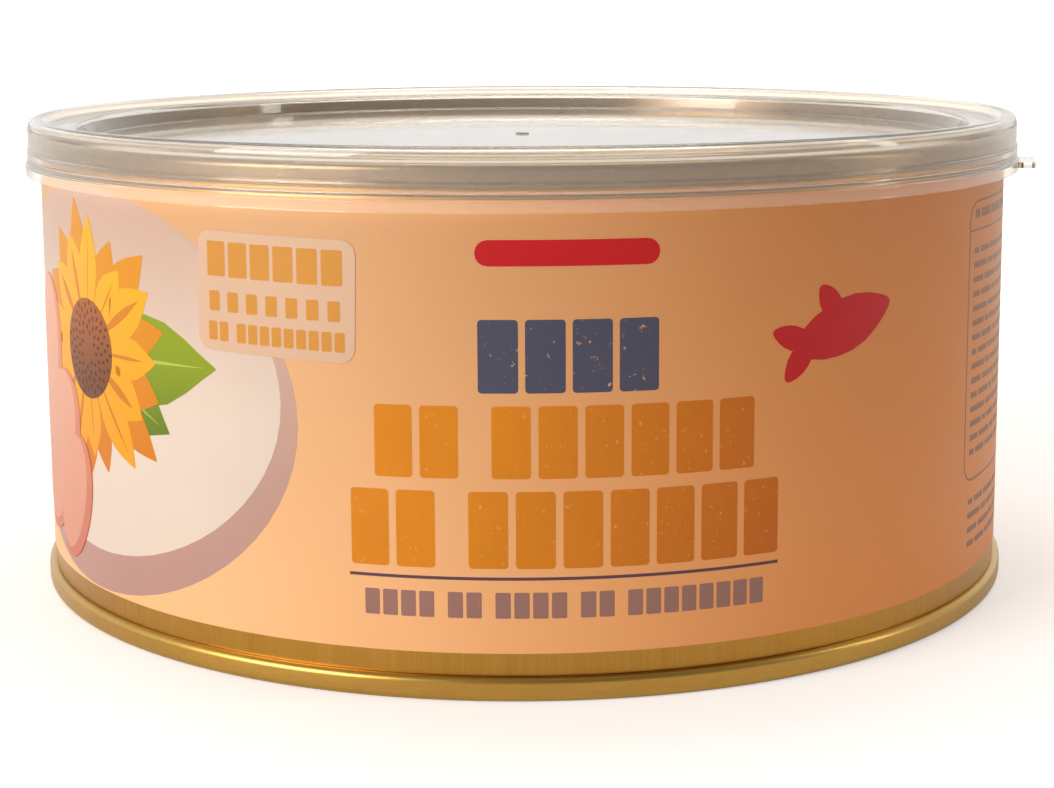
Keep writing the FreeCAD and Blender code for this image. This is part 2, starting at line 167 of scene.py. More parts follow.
join(tree, (direction, "Generated", facing, 0), (facing, "Value", darker_front, "Value"),
     (direction, "Generated", height, 0), (height, "Z", overhead, "Value"),
     (darker_front, "Result", shape, 0), (overhead, "Result", shape, 1),
     (mirrored(tree), 0, tone, "Factor"), (shape, 0, tone, "B"),
     (seen, 0, strength, "Factor"), (tone, 0, strength, "B"), (seen, 0, hue, "Fac"),
     (hue, 0, surround, "Color"), (strength, 0, surround, "Strength"), (surround, 0, world_out, 0))

# %% Floor
floor_mesh = bmesh.new()
bmesh.ops.create_grid(floor_mesh, x_segments=1, y_segments=1, size=8.0)
floor_data = bpy.data.meshes.new("floor")
floor_mesh.to_mesh(floor_data)
floor_mesh.free()
floor = bpy.data.objects.new("floor", floor_data)
bpy.context.scene.collection.objects.link(floor)

paint = bpy.data.materials.new("pale_floor")
paint.use_nodes = True
tree = paint.node_tree
tree.nodes.clear()
matte = add(tree, "BsdfDiffuse", {"Color": (0.84, 0.84, 0.84, 1.0)})
own_light = add(tree, "Emission", {"Color": (1.0, 1.0, 1.0, 1.0)})
spot = add(tree, "TexCoord")
reach = add(tree, "VectorMath", operation="LENGTH")
# The floor's own light is weaker towards the can: painted shade round the can's foot.
painted_shade_near_can = add(tree, "MapRange", {"From Min": 0.1, "From Max": 0.7, "To Min": 0.45, "To Max": 1.0})
dim = add(tree, "MapRange", {"To Min": 1.0, "To Max": 0.3})
part = add(tree, "Math", operation="MULTIPLY")
floor_glow = add(tree, "Math", operation="MULTIPLY")
both = add(tree, "AddShader")
floor_out = add(tree, "OutputMaterial")
join(tree, (spot, "Object", reach, 0), (reach, "Value", painted_shade_near_can, "Value"), (mirrored(tree), 0, dim, "Value"),
     (painted_shade_near_can, "Result", part, 0), (dim, "Result", part, 1), (part, 0, floor_glow, 0),
     (seen_rays(tree), 0, floor_glow, 1), (floor_glow, 0, own_light, "Strength"),
     (matte, 0, both, 0), (own_light, 0, both, 1), (both, 0, floor_out, 0))
floor_data.materials.append(paint)

# %% [markdown]
# The key light is a big soft box to the left and in front, so that the label goes from light at the left
# to a deeper tone at the right. A narrow box far to the right draws the soft line of light that runs up
# that side, and a box above lights the lid.


# %% Lamps
def soft_box(name, place, wide, high, watts, tint):
    """A rectangular area lamp that faces the middle of the can."""
    lamp = bpy.data.lights.new(name, "AREA")
    lamp.shape = "RECTANGLE"
    lamp.size, lamp.size_y = wide, high
    lamp.energy = watts
    lamp.color = tint
    stand = bpy.data.objects.new(name, lamp)
    aim = Vector((0, 0, 0.035)) - Vector(place)
    stand.matrix_world = Matrix.Translation(place) @ aim.to_track_quat("-Z", "Y").to_matrix().to_4x4()
    bpy.context.scene.collection.objects.link(stand)


CLEAN = (1.0, 0.985, 0.96)
soft_box("key_box", (-1.05, -0.8, 0.5), 0.8, 0.8, 13.0, CLEAN)
soft_box("top_box", (0.0, 0.35, 1.2), 0.9, 0.6, 5.0, CLEAN)
soft_box("right_strip", (1.1, -0.1, 0.45), 0.12, 0.9, 1.6, CLEAN)

# %% [markdown]
# ## Effects that several finishes share
#
# Three effects come back in many finishes, so each is built once as a node group with named sockets:
# the fine streaks of rolled sheet, a film of ink that lets a little of the ground through, and the smears
# and dust of handling. A group gives out colours and values only. The shader stays outside.


# %% Group helper
def effect(name, inputs, outputs):
    """An empty node group with named sockets, its input node and its output node."""
    group = bpy.data.node_groups.new(name, "ShaderNodeTree")
    kinds = {"value": "NodeSocketFloat", "colour": "NodeSocketColor", "vector": "NodeSocketVector"}
    for label, kind, start in inputs:
        socket = group.interface.new_socket(label, in_out="INPUT", socket_type=kinds[kind])
        if start is not None:
            socket.default_value = start
    for label, kind in outputs:
        group.interface.new_socket(label, in_out="OUTPUT", socket_type=kinds[kind])
    return group, group.nodes.new("NodeGroupInput"), group.nodes.new("NodeGroupOutput")


def use(tree, group, values=None):
    """Places a group in a material with its own values."""
    made = tree.nodes.new("ShaderNodeGroup")
    made.node_tree = group
    for key, value in (values or {}).items():
        made.inputs[key].default_value = value
    return made


# %% Rolled sheet
# Streaks: one noise, drawn out along the rolling direction by the mapped vector, at two sizes.
rolled_sheet, inside, outside = effect(
    "rolled_sheet",
    [("Vector", "vector", None), ("Light", "colour", (1, 1, 1, 1)), ("Dark", "colour", (0.5, 0.5, 0.5, 1)),
     ("Smooth", "value", 0.2), ("Rough", "value", 0.4)],
    [("Color", "colour"), ("Roughness", "value"), ("Height", "value")])
fine = add(rolled_sheet, "TexNoise", {"Scale": 1.0, "Detail": 3.0, "Roughness": 0.6})
broad = add(rolled_sheet, "TexNoise", {"Scale": 0.11, "Detail": 2.0, "Roughness": 0.5})
blend = add(rolled_sheet, "Math", {1: 0.65}, operation="MULTIPLY_ADD")
scaled = add(rolled_sheet, "Math", {1: 0.35}, operation="MULTIPLY")
contrast = add(rolled_sheet, "MapRange", {"From Min": 0.3, "From Max": 0.7})
tint = add(rolled_sheet, "MixRGB")
dull = add(rolled_sheet, "Mix")
join(rolled_sheet, (inside, "Vector", fine, "Vector"), (inside, "Vector", broad, "Vector"),
     (fine, 0, blend, 0), (broad, 0, scaled, 0), (scaled, 0, blend, 2), (blend, 0, contrast, "Value"),
     (contrast, 0, tint, "Fac"), (inside, "Dark", tint, 1), (inside, "Light", tint, 2),
     (broad, 0, dull, "Factor"), (inside, "Smooth", dull, "A"), (inside, "Rough", dull, "B"),
     (tint, 0, outside, "Color"), (dull, 0, outside, "Roughness"), (contrast, 0, outside, "Height"))

# %% Film of ink
# Two noises: slow clouds shift the tone of the ink, and fine specks let the ground show through.
ink_film, inside, outside = effect(
    "ink_film",
    [("Ink", "colour", (0.5, 0.3, 0.1, 1)), ("Ground", "colour", (0.8, 0.5, 0.3, 1)),
     ("Specks", "value", 0.1), ("Speck Size", "value", 1.0), ("Clouds", "value", 0.1)],
    [("Color", "colour"), ("Roughness", "value"), ("Height", "value")])
place = add(ink_film, "TexCoord")
shrink = add(ink_film, "VectorMath", operation="SCALE")
speck = add(ink_film, "TexNoise", {"Scale": 1400.0, "Detail": 4.0, "Roughness": 0.7})
cut = add(ink_film, "Math", {0: 0.78}, operation="SUBTRACT")
edge = add(ink_film, "MapRange", {"From Min": 0.0, "From Max": 0.06})
cloud = add(ink_film, "TexNoise", {"Scale": 55.0, "Detail": 3.0, "Roughness": 0.55})
depth = add(ink_film, "MapRange", {"From Min": 0.3, "From Max": 0.7})
lower = add(ink_film, "Math", {0: 1.0}, operation="SUBTRACT")
raised = add(ink_film, "Math", {0: 1.0}, operation="ADD")
tone = add(ink_film, "VectorMath", operation="SCALE")
show = add(ink_film, "MixRGB")
gap = add(ink_film, "Math", operation="SUBTRACT")
shine = add(ink_film, "MapRange", {"From Min": 0.3, "From Max": 0.7, "To Min": 0.34, "To Max": 0.46})
join(ink_film, (place, "Object", shrink, 0), (inside, "Speck Size", shrink, "Scale"),
     (shrink, 0, speck, "Vector"), (inside, "Specks", cut, 1), (speck, 0, gap, 0), (cut, 0, gap, 1),
     (gap, 0, edge, "Value"), (place, "Object", cloud, "Vector"), (cloud, 0, depth, "Value"),
     (inside, "Clouds", lower, 1), (inside, "Clouds", raised, 1), (lower, 0, depth, "To Min"),
     (raised, 0, depth, "To Max"), (inside, "Ink", tone, 0), (depth, 0, tone, "Scale"),
     (tone, 0, show, 1), (inside, "Ground", show, 2), (edge, 0, show, "Fac"),
     (cloud, 0, shine, "Value"), (show, 0, outside, "Color"), (shine, 0, outside, "Roughness"),
     (edge, 0, outside, "Height"))

# %% Marks of handling
# Smears are slow clouds in the shine. Dust is a fine noise that shows only where a cloud allows it.
handling, inside, outside = effect(
    "handling",
    [("Clean", "value", 0.05), ("Smeared", "value", 0.2), ("Dusty", "value", 0.4)],
    [("Roughness", "value")])
place = add(handling, "TexCoord")
smear = add(handling, "TexNoise", {"Scale": 38.0, "Detail": 4.0, "Roughness": 0.6, "Distortion": 0.4})
soft = add(handling, "MapRange", {"From Min": 0.42, "From Max": 0.72})
grit = add(handling, "TexNoise", {"Scale": 1900.0, "Detail": 2.0})
grain = add(handling, "MapRange", {"From Min": 0.66, "From Max": 0.74})
patch = add(handling, "TexNoise", {"Scale": 24.0, "Detail": 1.0})
few = add(handling, "MapRange", {"From Min": 0.5, "From Max": 0.66})
dust = add(handling, "Math", operation="MULTIPLY")
first = add(handling, "Mix")
second = add(handling, "Mix")
join(handling, (place, "Object", smear, "Vector"), (smear, 0, soft, "Value"),
     (place, "Object", grit, "Vector"), (grit, 0, grain, "Value"),
     (place, "Object", patch, "Vector"), (patch, 0, few, "Value"), (grain, 0, dust, 0), (few, 0, dust, 1),
     (soft, 0, first, "Factor"), (inside, "Clean", first, "A"), (inside, "Smeared", first, "B"),
     (dust, 0, second, "Factor"), (first, 0, second, "A"), (inside, "Dusty", second, "B"),
     (second, 0, outside, "Roughness"))
print("effects:", ", ".join(g.name for g in bpy.data.node_groups))


# %% [markdown]
# ## Finishes
#
# Every finish is one Principled shader with a network in front of it. What is the same all over, such as
# Metallic, coat or index of refraction, is set on the shader's own socket.


# %% Finish helper
def finish(name, values):
    """A material with a Principled shader, and its tree."""
    made = bpy.data.materials.new(name)
    made.use_nodes = True
    tree = made.node_tree
    tree.nodes.clear()
    shader = add(tree, "BsdfPrincipled", values)
    output = add(tree, "OutputMaterial")
    join(tree, (shader, 0, output, 0))
    return made, tree, shader, output


def bumped(tree, source, output, shader, strength, distance):
    """Turns a height into a bump on the shader's normal."""
    relief = add(tree, "Bump", {"Strength": strength, "Distance": distance})
    join(tree, (source, output, relief, "Height"), (relief, 0, shader, "Normal"))


# %% [markdown]
# ### Lacquered tinplate
#
# The can is rolled steel with a thin coat of tin, under a lacquer that makes it gold at the foot and
# champagne on the lid. The lid's seam, squeezed by the rollers, is rougher than its panel, and its colour is
# darkened as painted shade, standing for the dark that it reflects under the cap. The streaks run
# up the wall, and straight across the ends, as the sheet was rolled.


# %% Metal finishes
def sheet_metal(name, light, dark, smooth, rough, stretch, relief):
    """Rolled sheet. stretch is how fine the streaks are along each axis, per metre."""
    made, tree, shader, _ = finish(name, {"Metallic": 1.0, "Coat Weight": 0.25, "Coat Roughness": 0.12})
    place = add(tree, "TexCoord")
    mapped = add(tree, "Mapping", {"Scale": stretch})
    grain = use(tree, rolled_sheet, {"Light": light, "Dark": dark, "Smooth": smooth, "Rough": rough})
    join(tree, (place, "Object", mapped, "Vector"), (mapped, 0, grain, "Vector"),
         (grain, "Color", shader, "Base Color"), (grain, "Roughness", shader, "Roughness"))
    bumped(tree, grain, "Height", shader, relief, 0.00002)
    return made


gold_wall = sheet_metal("gold_wall", linear(200, 154, 68), linear(184, 137, 54), 0.3, 0.44,
                        (2600.0, 2600.0, 60.0), 0.3)
gold_end = sheet_metal("gold_end", linear(206, 166, 82), linear(196, 154, 72), 0.26, 0.38,
                       (60.0, 1500.0, 1500.0), 0.12)
lid_metal = sheet_metal("lid_metal", linear(206, 194, 172), linear(184, 170, 148), 0.12, 0.22,
                        (1500.0, 60.0, 1500.0), 0.15)
# The seam's colour is darkened: painted shade for the dark it reflects under the cap.
seam_metal_and_painted_shade = sheet_metal("seam_metal_and_painted_shade", linear(142, 120, 92), linear(124, 103, 78), 0.2, 0.34,
                         (500.0, 500.0, 900.0), 0.12)
pull_metal = sheet_metal("pull_metal", linear(188, 180, 166), linear(160, 152, 138), 0.14, 0.26,
                         (900.0, 300.0, 900.0), 0.2)

# %% [markdown]
# ### Printed inks
#
# The label is printed in a few flat inks on a tan ground and varnished. Each ink is the same film with its
# own colour. The title's inks are worn on purpose with small specks, as a stamped print is.

# %% Ink finishes
TAN = linear(224, 162, 106)
INKS = {
    "ink_slate": (linear(76, 76, 98), TAN, 0.15, 0.8, 0.04),
    "ink_mauve": (linear(158, 116, 106), TAN, 0.1, 1.2, 0.04),
    "ink_plum": (linear(96, 64, 78), TAN, 0.0, 1.2, 0.04),
    "ink_red": (linear(200, 10, 22), TAN, 0.04, 1.2, 0.03),
    "ink_cream": (linear(222, 184, 154), TAN, 0.0, 1.2, 0.015),
    "ink_ochre": (linear(214, 146, 54), TAN, 0.12, 1.2, 0.03),
    "ink_small": (linear(150, 104, 74), TAN, 0.05, 1.5, 0.03),
}


VARNISH = {"Coat Weight": 0.12, "Coat Roughness": 0.2, "Specular IOR Level": 0.3}


def ink(name):
    """A finish of one flat ink from the table."""
    colour, ground, specks, size, clouds = INKS[name]
    made, tree, shader, _ = finish(name, VARNISH)
    film = use(tree, ink_film, {"Ink": colour, "Ground": ground, "Specks": specks, "Speck Size": size,
                                "Clouds": clouds})
    join(tree, (film, "Color", shader, "Base Color"), (film, "Roughness", shader, "Roughness"))
    return made


inks = {name: ink(name) for name in INKS}


def shaded_ink(name, low, high, axis_values, specks=0.0, clouds=0.02, foot=1.0, head=1.0):
    """An ink that goes from one tone to another across the label. axis_values: direction, start and end.

    foot and head scale it at the label's lower and upper edge: where they differ, that is painted shade."""
    direction, start, end = axis_values
    made, tree, shader, _ = finish(name, VARNISH)
    place = add(tree, "TexCoord")
    along = add(tree, "VectorMath", {1: direction}, operation="DOT_PRODUCT")
    share = add(tree, "MapRange", {"From Min": start, "From Max": end}, interpolation_type="SMOOTHSTEP")
    tone = add(tree, "MixRGB", {1: low, 2: high})
    height = add(tree, "SeparateXYZ")
    # The tone is scaled by height, from foot to head: painted shade where the two differ.
    level = add(tree, "MapRange", {"From Min": 0.006, "From Max": 0.066, "To Min": foot, "To Max": head})
    dosed = add(tree, "VectorMath", operation="SCALE")
    film = use(tree, ink_film, {"Ground": TAN, "Specks": specks, "Clouds": clouds})
    join(tree, (place, "Object", along, 0), (along, "Value", share, "Value"), (share, 0, tone, "Fac"),
         (place, "Object", height, 0), (height, "Z", level, "Value"), (level, 0, dosed, "Scale"),
         (tone, 0, dosed, 0), (dosed, 0, film, "Ink"), (film, "Color", shader, "Base Color"),
         (film, "Roughness", shader, "Roughness"))
    return made


# %% Label ground
# The ground and the orange carry painted shade: they are lighter on the side that the key light faces and
# darker on the far side, and the ground is painted lighter towards the foot and darker towards the top.
PAINTED_SHADE_ACROSS = (0.985, -0.174, 0)
tan_ground_and_painted_shade = shaded_ink("tan_ground_and_painted_shade", linear(237, 183, 131), linear(226, 140, 66), (PAINTED_SHADE_ACROSS, -0.03, 0.085),
                        clouds=0.012, foot=1.2, head=0.84)
# The orange is painted darker towards the right: painted shade, as on the ground.
inks["ink_orange_and_painted_shade"] = shaded_ink("ink_orange_and_painted_shade", linear(224, 136, 4), linear(196, 100, 2), (PAINTED_SHADE_ACROSS, 0.0, 0.06),
                                specks=0.15, clouds=0.04)

# %% [markdown]
# ### Clear plastic
#
# The overcap is moulded from a clear, slightly milky plastic. Most of the light goes through, and a small
# share stays in it as a pale warm colour. Lamps would leave a black shadow behind real glass shaders, so
# for shadow rays the plastic is simply see-through.

# %% Overcap finish
clear_plastic, tree, shader, output = finish(
    "clear_plastic",
    {"Base Color": linear(255, 249, 240), "Transmission Weight": 0.92, "IOR": 1.46, "Roughness": 0.06})
marks = use(tree, handling, {"Clean": 0.045, "Smeared": 0.1, "Dusty": 0.2})
see_through = add(tree, "BsdfTransparent", {"Color": (0.93, 0.91, 0.88, 1.0)})
path = add(tree, "LightPath")
choose = add(tree, "MixShader")
join(tree, (marks, "Roughness", shader, "Roughness"), (path, "Is Shadow Ray", choose, 0),
     (shader, 0, choose, 1), (see_through, 0, choose, 2), (choose, 0, output, 0))

# %% [markdown]
# ## Round pieces
#
# A can is turned work: every round piece is an outline that goes once round the axis. The outline starts
# as a few points, its corners are rounded by a bevel on those points, and a spin makes the surface. Points
# on the axis meet in one pole.

# %% Read the sizes
label_low, label_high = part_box("label")
cap_low, cap_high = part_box("overcap")

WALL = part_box("can_body")[1].x / MM
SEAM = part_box("bottom_end")[1].x / MM
LABEL = label_high.x / MM
LOW, HIGH = label_low.z / MM, label_high.z / MM
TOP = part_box("top_end")[1].z / MM
SEAM_HEIGHT = 3.3
CHUCK = WALL - 0.62
SHEET = 0.25
TURNS = 240
print("wall %.2f, seam %.2f, label %.2f mm in radius, %.1f mm high" % (WALL, SEAM, LABEL, TOP))


# %% Spinning helper
SHARP = math.radians(40)


def shown(name, bm, finishes, slot, *nodes):
    """Makes the finished object, lets it ride on the can, and hides the CAD pieces it stands for."""
    bmesh.ops.recalc_face_normals(bm, faces=bm.faces)
    mesh = bpy.data.meshes.new(name)
    bm.to_mesh(mesh)
    bm.free()
    mesh.shade_smooth()
    mesh.set_sharp_from_angle(angle=SHARP)
    for made in finishes:
        mesh.materials.append(made)
    piece = bpy.data.objects.new(name, mesh)
    bpy.context.scene.collection.objects.link(piece)
    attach(piece, "root")
    if nodes:
        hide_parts(*nodes)
    print("%s: %d faces" % (name, len(mesh.polygons)))
    return piece


def even_shading(piece):
    """Lets the broad faces set the normals, so that flat parts stay flat beside small rounds."""
    piece.modifiers.new("even_shading", "WEIGHTED_NORMAL").keep_sharp = True


def spun(bm, corners, turns=TURNS):
    """Spins an outline of (radius, height, rounding) corners, in mm, once round the axis."""
    ring = corners[0][0] > 0
    points = [bm.verts.new((r * MM, 0, z * MM)) for r, z, _ in corners]
    pairs = list(zip(points, points[1:])) + ([(points[-1], points[0])] if ring else [])
    for pair in pairs:
        bm.edges.new(pair)
    for point, (_, _, rounding) in zip(points, corners):
        if rounding:
            bmesh.ops.bevel(bm, geom=[point], offset=rounding * MM, offset_type="OFFSET", affect="VERTICES",
                            segments=5, profile=0.5, material=-1)
    bmesh.ops.spin(bm, geom=bm.verts[:] + bm.edges[:], cent=(0, 0, 0), axis=(0, 0, 1),
                   angle=2 * math.pi, steps=turns, use_merge=True)
    bmesh.ops.remove_doubles(bm, verts=bm.verts, dist=0.00001 * MM)
    return bm


def corners_in(geometry):
    """The vertices among the vertices, edges and faces that an operator gives back."""
    return [item for item in geometry if isinstance(item, bmesh.types.BMVert)]


def merge(part, bm):
    """Adds one mesh to another."""
    held = bpy.data.meshes.new("held")
    part.to_mesh(held)
    part.free()
    bm.from_mesh(held)
    bpy.data.meshes.remove(held)


# %% [markdown]
# ### Wall
#
# The straight wall shows as a matt gold strip under the label and as a thin line above it. It is a closed
# drum from one end to the other, as the CAD solid is.

# %% Wall
DRUM = WALL - 0.37
DRUM_LOW, DRUM_HIGH = 4.7, TOP - 6.0
EDGE_LOW, EDGE_HIGH = SEAM_HEIGHT + 0.05, TOP - SEAM_HEIGHT - 0.05
shown("wall", spun(bmesh.new(), [
    (0, DRUM_LOW, 0), (DRUM, DRUM_LOW, 0), (DRUM, EDGE_LOW, 0), (WALL, EDGE_LOW, 0.02),
    (WALL, EDGE_HIGH, 0.02), (DRUM, EDGE_HIGH, 0), (DRUM, DRUM_HIGH, 0), (0, DRUM_HIGH, 0),
]), [gold_wall], "gold_tinplate", "can_body")

# %% [markdown]
# ### Bottom end
#
# The can stands on its double seam. Inside the seam the sheet drops into a groove and comes back to a
# panel with pressed rings, which let the end bulge a little when the can is heated.

# %% Bottom end
GROOVE_TOP, FOOT_PANEL, RAISED = 4.2, 2.5, 3.1
GROOVE_WIDE, GROOVE_END = 2.2, 2.9
FOOT = [(CHUCK, 0, 0.55), (SEAM, 0, 0.95), (SEAM, SEAM_HEIGHT, 0.85), (WALL - 0.2, SEAM_HEIGHT, 0)]
GROOVE = [(CHUCK, GROOVE_TOP, 0.6), (CHUCK - GROOVE_WIDE, GROOVE_TOP, 0.6),
          (CHUCK - GROOVE_END, FOOT_PANEL, 0.35)]
RINGS = [(60.0, FOOT_PANEL, 0.25), (59.4, RAISED, 0.25), (55.0, RAISED, 0.25), (54.4, FOOT_PANEL, 0.25),
         (42.0, FOOT_PANEL, 0.25), (41.4, RAISED, 0.25)]


def sheet_back(corners, shift):
    """The hidden face of an end: the same outline, one sheet further in, with its rounds."""
    edge, rest = corners[0], corners[1:]
    return [(edge[0] + SHEET, edge[1] + shift, 0.2)] + [(r, z + shift, rounding) for r, z, rounding in rest]


pressed = GROOVE + RINGS
bottom_end = shown("bottom_end_sheet", spun(bmesh.new(), (
    [(0, RAISED, 0)] + list(reversed(pressed)) + FOOT
    + sheet_back(pressed, SHEET) + [(0, RAISED + SHEET, 0)])), [gold_end], "gold_end", "bottom_end")
even_shading(bottom_end)

# %% [markdown]
# ### Ring-pull end
#
# The lid has the same seam and groove. A score line runs just inside the groove, where the lid will tear,
# and inside it the sheet is pressed down in one ring and in the middle, which stiffens it. The rivet that
# holds the pull is drawn up out of the lid's own sheet.

# %% Lid
FLOOR = TOP - SEAM_HEIGHT - 2.2
PANEL = FLOOR + 0.8
SUNK = PANEL - 0.35
SCORE = CHUCK - GROOVE_END - 2.2
RIVET = SCORE - 10.0
CROWN = [(CHUCK, TOP, 0.55), (SEAM, TOP, 0.95), (SEAM, TOP - SEAM_HEIGHT, 0.6),
         (WALL - 0.2, TOP - SEAM_HEIGHT, 0)]
LID = [(CHUCK, FLOOR, 0.6), (CHUCK - GROOVE_WIDE, FLOOR, 0.4), (CHUCK - GROOVE_END, PANEL, 0.25),
       (SCORE + 0.3, PANEL, 0.05), (SCORE, PANEL - 0.1, 0.05), (SCORE - 0.3, PANEL, 0.05),
       (RIVET - 10.0, PANEL, 0.2), (RIVET - 10.35, SUNK, 0.2), (RIVET - 14.5, SUNK, 0.2),
       (RIVET - 14.85, PANEL, 0.2), (RIVET - 23.0, PANEL, 0.2), (RIVET - 23.35, SUNK, 0.2)]
PULL_TURN = Matrix.Rotation(math.radians(52.0), 4, "Z")
PULL_SEAT = PANEL + 0.12
PULL_THICKNESS = 1.7
PULL_TOP = PULL_SEAT + PULL_THICKNESS
ISLAND = PULL_TOP - 0.85

lid_mesh = spun(bmesh.new(), (
    [(0, SUNK, 0)] + list(reversed(LID)) + CROWN
    + sheet_back(LID, -SHEET) + [(0, SUNK - SHEET, 0)]))


def rivet(bm):
    """Shank and domed head: a stack of discs that grows from the lid's sheet."""
    levels = ((PANEL - 0.02, 2.9, 0), (PANEL + 0.12, 2.3, 0), (ISLAND, 2.3, 0), (ISLAND, 3.5, 0),
              (ISLAND + 0.25, 3.5, 0.15), (ISLAND + 0.45, 2.6, 0.3), (ISLAND + 0.45, 1.5, 0.2),
              (ISLAND + 0.3, 1.1, 0.15))
    part = spun(bmesh.new(), [(0, levels[0][0], 0)] + [(r, z, rounding) for z, r, rounding in levels]
                + [(0, levels[-1][0], 0)], 48)
    bmesh.ops.translate(part, verts=part.verts, vec=(RIVET * MM, 0, 0))
    bmesh.ops.transform(part, matrix=PULL_TURN, verts=part.verts)
    merge(part, bm)


rivet(lid_mesh)
for face in lid_mesh.faces:
    face.material_index = int(face.calc_center_median().xy.length > (CHUCK - 0.1) * MM)
lid = shown("lid", lid_mesh, [lid_metal, seam_metal_and_painted_shade], "silver_end", "top_end")
even_shading(lid)

# %% [markdown]
# ### Ring pull
#
# The pull is stamped from thicker strip and its edges are curled under, so it is round to the finger. Two
# egg-shaped loops, for the rim and the finger hole, and a circle for the window round the rivet are filled
# into a flat blank. Extruding gives it thickness, and a bevel rolls all its edges. A thinner washer in the
# window is held under the rivet's head.


# %% Ring pull
def egg(bm, near, near_radius, far, far_radius, height):
    """A loop round two circles on the X axis: the half of a circle that looks ahead slides forward."""
    loop = bmesh.ops.create_circle(bm, segments=96, radius=near_radius * MM)["verts"]
    lean = math.acos((near_radius - far_radius) / (far - near))
    ahead = [v for v in loop if v.co.x > near_radius * MM * (math.cos(lean) + 0.001)]
    bmesh.ops.scale(bm, verts=ahead, vec=(far_radius / near_radius, far_radius / near_radius, 1))
    bmesh.ops.translate(bm, verts=ahead, vec=((far - near) * MM, 0, 0))
    bmesh.ops.translate(bm, verts=loop, vec=(near * MM, 0, height * MM))
    return loop


def edges_of(loop):
    inside = set(loop)
    return list({e for v in loop for e in v.link_edges if set(e.verts) <= inside})


WINDOW = 5.2
WASHER_HOLE = 2.38
WASHER_EDGE = WINDOW + 0.4
RING_CENTRE = RIVET - 27.0
pull_mesh = bmesh.new()
rim = egg(pull_mesh, RING_CENTRE, 12.5, RIVET - 1.0, 9.0, PULL_SEAT)
hole = egg(pull_mesh, RING_CENTRE, 8.4, RING_CENTRE + 6.0, 6.8, PULL_SEAT)
window = bmesh.ops.create_circle(pull_mesh, segments=48, radius=WINDOW * MM)["verts"]
bmesh.ops.translate(pull_mesh, verts=window, vec=(RIVET * MM, 0, PULL_SEAT * MM))
bmesh.ops.triangle_fill(pull_mesh, use_beauty=True, normal=(0, 0, 1),
                        edges=edges_of(rim) + edges_of(hole) + edges_of(window))
blank = bmesh.ops.extrude_face_region(pull_mesh, geom=pull_mesh.faces[:])
bmesh.ops.translate(pull_mesh, vec=(0, 0, PULL_THICKNESS * MM), verts=corners_in(blank["geom"]))
bmesh.ops.recalc_face_normals(pull_mesh, faces=pull_mesh.faces)
rims = [e for e in pull_mesh.edges if e.is_manifold and e.calc_face_angle() > 1.0]
bmesh.ops.bevel(pull_mesh, geom=rims, offset=0.7 * MM, offset_type="OFFSET", affect="EDGES", segments=5,
                profile=0.5, material=-1)
washer = spun(bmesh.new(), [
    (WASHER_HOLE, PULL_SEAT, 0), (WASHER_EDGE, PULL_SEAT, 0), (WASHER_EDGE, ISLAND, 0),
    (WASHER_HOLE, ISLAND, 0.1)], 48)
bmesh.ops.translate(washer, verts=washer.verts, vec=(RIVET * MM, 0, 0))
merge(washer, pull_mesh)
bmesh.ops.transform(pull_mesh, matrix=PULL_TURN, verts=pull_mesh.verts)
ring_pull = shown("ring_pull_stamped", pull_mesh, [pull_metal], "bright_steel", "ring_pull")
even_shading(ring_pull)

# %% [markdown]
# ### Label
#
# The label is a printed sleeve 0.12 mm thick. Its top and bottom edges are cut clean. The ground colour is
# on the sleeve itself, and each printed shape is a thin film on top of it, so that its edges stay sharp at
# any distance.

# %% Label sleeve
label_mesh = spun(bmesh.new(), [
    (WALL, LOW, 0), (LABEL, LOW, 0.03), (LABEL, HIGH, 0.03), (WALL, HIGH, 0)])
sleeve = shown("label_sleeve", label_mesh, [tan_ground_and_painted_shade], "label_print", "label")
even_shading(sleeve)

# %% [markdown]
# ### Printed shapes
#
# A shape is drawn flat, with x as the distance round the can from the front and y as the height, in
# millimetres. Upright cuts, CUT apart, let it bend. It is extruded into a film and then
# wrapped: x becomes an angle. Films that lie over each other have different levels.

# %% Printing helpers
CUT = 1.2
STEP = 0.012
UNDER = 0.02
TRIM = 0.05


def wrap(bm, level):
    """Cuts a flat drawing (mm) into strips, gives it the thickness of a film and wraps it on the label."""
    left = min(v.co.x for v in bm.verts)
    right = max(v.co.x for v in bm.verts)
    for number in range(math.floor(left / CUT), math.ceil(right / CUT) + 1):
        bmesh.ops.bisect_plane(bm, geom=bm.verts[:] + bm.edges[:] + bm.faces[:], dist=0.0001,
                               plane_co=(number * CUT, 0, 0), plane_no=(1, 0, 0))
    raised = bmesh.ops.extrude_face_region(bm, geom=bm.faces[:])
    bmesh.ops.translate(bm, verts=corners_in(raised["geom"]), vec=(0, 0, 1))
    for vert in bm.verts:
        out = LABEL + (STEP * level if vert.co.z > 0.5 else -UNDER)
        angle = vert.co.x / LABEL
        vert.co = Vector((out * math.sin(angle), -out * math.cos(angle), vert.co.y)) * MM


def clipped(bm, low, high):
    """Trims a flat drawing to the label's height."""
    for height, facing in ((low, -1), (high, 1)):
        bmesh.ops.bisect_plane(bm, geom=bm.verts[:] + bm.edges[:] + bm.faces[:], dist=0.0001,
                               plane_co=(0, height, 0), plane_no=(0, facing, 0), clear_outer=True)


